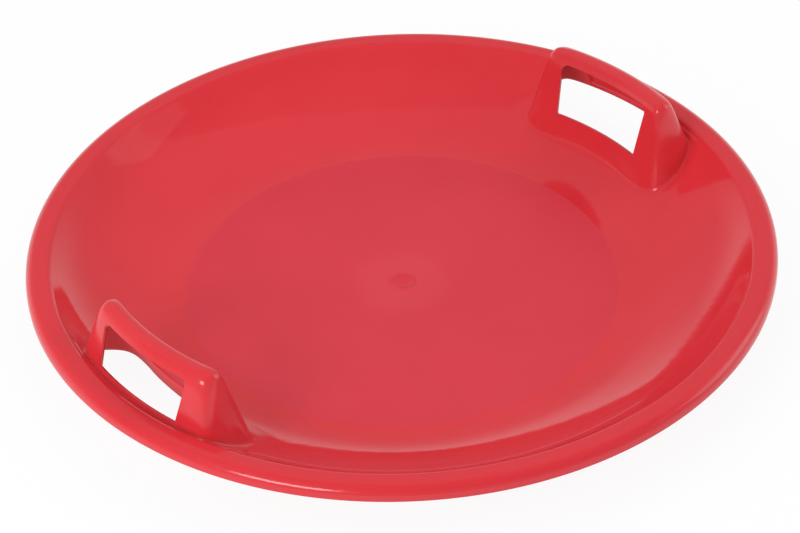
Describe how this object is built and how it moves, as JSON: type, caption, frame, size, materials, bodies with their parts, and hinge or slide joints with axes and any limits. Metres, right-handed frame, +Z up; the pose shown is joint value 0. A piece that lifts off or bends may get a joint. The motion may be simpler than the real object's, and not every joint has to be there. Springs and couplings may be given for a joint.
{
  "type": "saucer sled",
  "caption": "Round saucer sled for sliding down snow: a thin moulded dish with a flat floor, flared wall, rolled rim and hollow hand grips on opposite sides.",
  "frame": {"origin": "on the ground under the middle of the flat floor", "axes": "+Z up; the handles stand on +X and -X"},
  "size_m": [0.6, 0.5999, 0.09],
  "materials": {
    "gloss_body": "smooth glossy red moulded plastic",
    "satin_floor": "fine satin red moulded plastic with a faint pale patch round the gate button"
  },
  "bodies": {
    "root": {"sliding_floor": "satin_floor", "flared_wall": "gloss_body", "rolled_rim": "gloss_body", "right_handle_grip": "gloss_body", "right_handle_front_post": "gloss_body", "right_handle_rear_post": "gloss_body", "left_handle_grip": "gloss_body", "left_handle_front_post": "gloss_body", "left_handle_rear_post": "gloss_body"}
  },
  "joints": []
}
